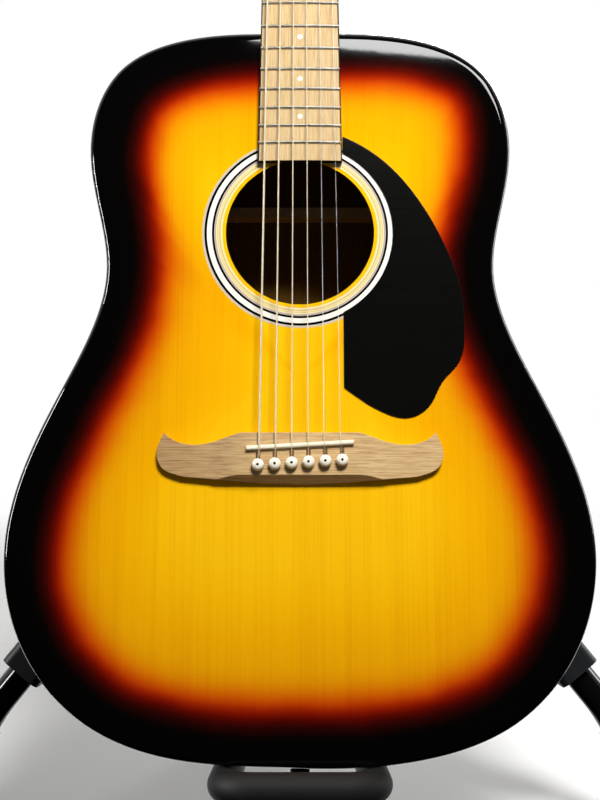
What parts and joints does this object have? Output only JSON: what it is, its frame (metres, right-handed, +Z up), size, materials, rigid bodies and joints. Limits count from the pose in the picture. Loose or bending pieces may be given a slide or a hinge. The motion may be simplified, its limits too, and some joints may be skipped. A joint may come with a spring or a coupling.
{
  "type": "acoustic guitar on a folding stand",
  "caption": "Steel-string acoustic guitar with a sunburst top and black pickguard, resting in the sleeved cradle of a folding tubular floor stand.",
  "frame": {"origin": "on the floor, under the middle of the bounding box", "axes": "+Z up, the guitar faces -Y and leans back towards +Y, +X to the treble side"},
  "size_m": [0.6052, 0.5155, 1.1153],
  "materials": {
    "sunburst_top": "gloss sunburst lacquer over spruce",
    "black_lacquered_wood": "gloss black lacquer",
    "neck_wood": "dark satin lacquer",
    "inner_wood": "bare planed wood",
    "walnut": "oiled open-pored wood",
    "headplate_veneer": "gloss black lacquer",
    "rosette_inlay": "ringed inlay",
    "black_celluloid": "gloss black sheet",
    "bone": "polished bone white",
    "ivory_plastic": "polished ivory white",
    "strap_button": "gloss black",
    "phosphor_bronze": "wound wire",
    "plain_steel": "bright drawn wire",
    "fret_wire": "polished nickel silver",
    "truss_steel": "plain steel",
    "chrome": "bright chrome",
    "black_tube": "black powder coat",
    "black_fitting": "moulded black nylon",
    "black_rubber": "moulded rubber",
    "black_foam": "closed-cell foam",
    "zinc_steel": "zinc plated"
  },
  "bodies": {
    "stand": {"front_leg_left": "black_tube", "front_leg_right": "black_tube", "boot_left": "black_rubber", "boot_right": "black_rubber", "leg_collars": "black_fitting", "crossbar": "black_tube", "apex_hub": "black_fitting", "hinge_pin": "zinc_steel", "frame_bolts": "zinc_steel", "back_pads": "black_foam", "cradle": "black_tube", "cradle_sleeve": "black_rubber", "arm_clamps": "black_fitting"},
    "rear_leg": {"rear_leg": "black_tube", "rear_leg_eye": "black_fitting", "rear_boot": "black_rubber"},
    "guitar": {"soundboard": "sunburst_top", "back_plate": "black_lacquered_wood", "side_bass": "black_lacquered_wood", "side_treble": "black_lacquered_wood", "top_lining": "inner_wood", "back_lining": "inner_wood", "neck_block": "inner_wood", "tail_block": "inner_wood", "top_braces": "inner_wood", "back_braces": "inner_wood", "bridge_plate": "inner_wood", "rosette": "rosette_inlay", "pickguard": "black_celluloid", "bridge": "walnut", "saddle": "bone", "bridge_pins": "ivory_plastic", "wound_strings": "phosphor_bronze", "plain_strings": "plain_steel", "neck": "neck_wood", "fretboard": "walnut", "frets": "fret_wire", "position_dots": "ivory_plastic", "nut": "bone", "truss_rod": "truss_steel", "truss_rod_cover": "black_celluloid", "headplate": "headplate_veneer", "end_pin": "strap_button", "tuner_bushings": "chrome", "tuner_plates": "chrome", "tuner_screws": "chrome"},
    "post_1": {"tuner_post_1": "chrome"},
    "button_1": {"tuner_button_1": "chrome"},
    "post_2": {"tuner_post_2": "chrome"},
    "button_2": {"tuner_button_2": "chrome"},
    "post_3": {"tuner_post_3": "chrome"},
    "button_3": {"tuner_button_3": "chrome"},
    "post_4": {"tuner_post_4": "chrome"},
    "button_4": {"tuner_button_4": "chrome"},
    "post_5": {"tuner_post_5": "chrome"},
    "button_5": {"tuner_button_5": "chrome"},
    "post_6": {"tuner_post_6": "chrome"},
    "button_6": {"tuner_button_6": "chrome"}
  },
  "joints": [
    {"name": "guitar_lift", "type": "slide", "parent": "stand", "child": "guitar", "axis": [0, 0, 1], "range_m": [0, 0.2]},
    {"name": "rear_leg_fold", "type": "hinge", "parent": "stand", "child": "rear_leg", "pos_m": [0, -0.02078, 0.37912], "axis": [1, 0, 0], "range_deg": [-43, 0]},
    {"name": "button_1_turn", "type": "hinge", "parent": "guitar", "child": "button_1", "pos_m": [-0.0265, -0.01115, 0.99421], "axis": [1, 0, 0], "continuous": true},
    {"name": "post_1_turn", "type": "hinge", "parent": "guitar", "child": "post_1", "pos_m": [-0.0265, -0.03384, 0.99582], "axis": [0, -0.8988, 0.4384], "continuous": true},
    {"name": "button_2_turn", "type": "hinge", "parent": "guitar", "child": "button_2", "pos_m": [-0.0265, 0.00638, 1.03016], "axis": [1, 0, 0], "continuous": true},
    {"name": "post_2_turn", "type": "hinge", "parent": "guitar", "child": "post_2", "pos_m": [-0.0265, -0.01631, 1.03177], "axis": [0, -0.8988, 0.4384], "continuous": true},
    {"name": "button_3_turn", "type": "hinge", "parent": "guitar", "child": "button_3", "pos_m": [-0.0265, 0.02392, 1.06611], "axis": [1, 0, 0], "continuous": true},
    {"name": "post_3_turn", "type": "hinge", "parent": "guitar", "child": "post_3", "pos_m": [-0.0265, 0.00123, 1.06772], "axis": [0, -0.8988, 0.4384], "continuous": true},
    {"name": "button_4_turn", "type": "hinge", "parent": "guitar", "child": "button_4", "pos_m": [0.0265, 0.02392, 1.06611], "axis": [1, 0, 0], "continuous": true},
    {"name": "post_4_turn", "type": "hinge", "parent": "guitar", "child": "post_4", "pos_m": [0.0265, 0.00123, 1.06772], "axis": [0, -0.8988, 0.4384], "continuous": true},
    {"name": "button_5_turn", "type": "hinge", "parent": "guitar", "child": "button_5", "pos_m": [0.0265, 0.00638, 1.03016], "axis": [1, 0, 0], "continuous": true},
    {"name": "post_5_turn", "type": "hinge", "parent": "guitar", "child": "post_5", "pos_m": [0.0265, -0.01631, 1.03177], "axis": [0, -0.8988, 0.4384], "continuous": true},
    {"name": "button_6_turn", "type": "hinge", "parent": "guitar", "child": "button_6", "pos_m": [0.0265, -0.01115, 0.99421], "axis": [1, 0, 0], "continuous": true},
    {"name": "post_6_turn", "type": "hinge", "parent": "guitar", "child": "post_6", "pos_m": [0.0265, -0.03384, 0.99582], "axis": [0, -0.8988, 0.4384], "continuous": true}
  ],
  "couplings": [
    {"joint": "post_1_turn", "follows": "button_1_turn", "ratio": 0.071429},
    {"joint": "post_2_turn", "follows": "button_2_turn", "ratio": 0.071429},
    {"joint": "post_3_turn", "follows": "button_3_turn", "ratio": 0.071429},
    {"joint": "post_4_turn", "follows": "button_4_turn", "ratio": 0.071429},
    {"joint": "post_5_turn", "follows": "button_5_turn", "ratio": 0.071429},
    {"joint": "post_6_turn", "follows": "button_6_turn", "ratio": 0.071429}
  ]
}
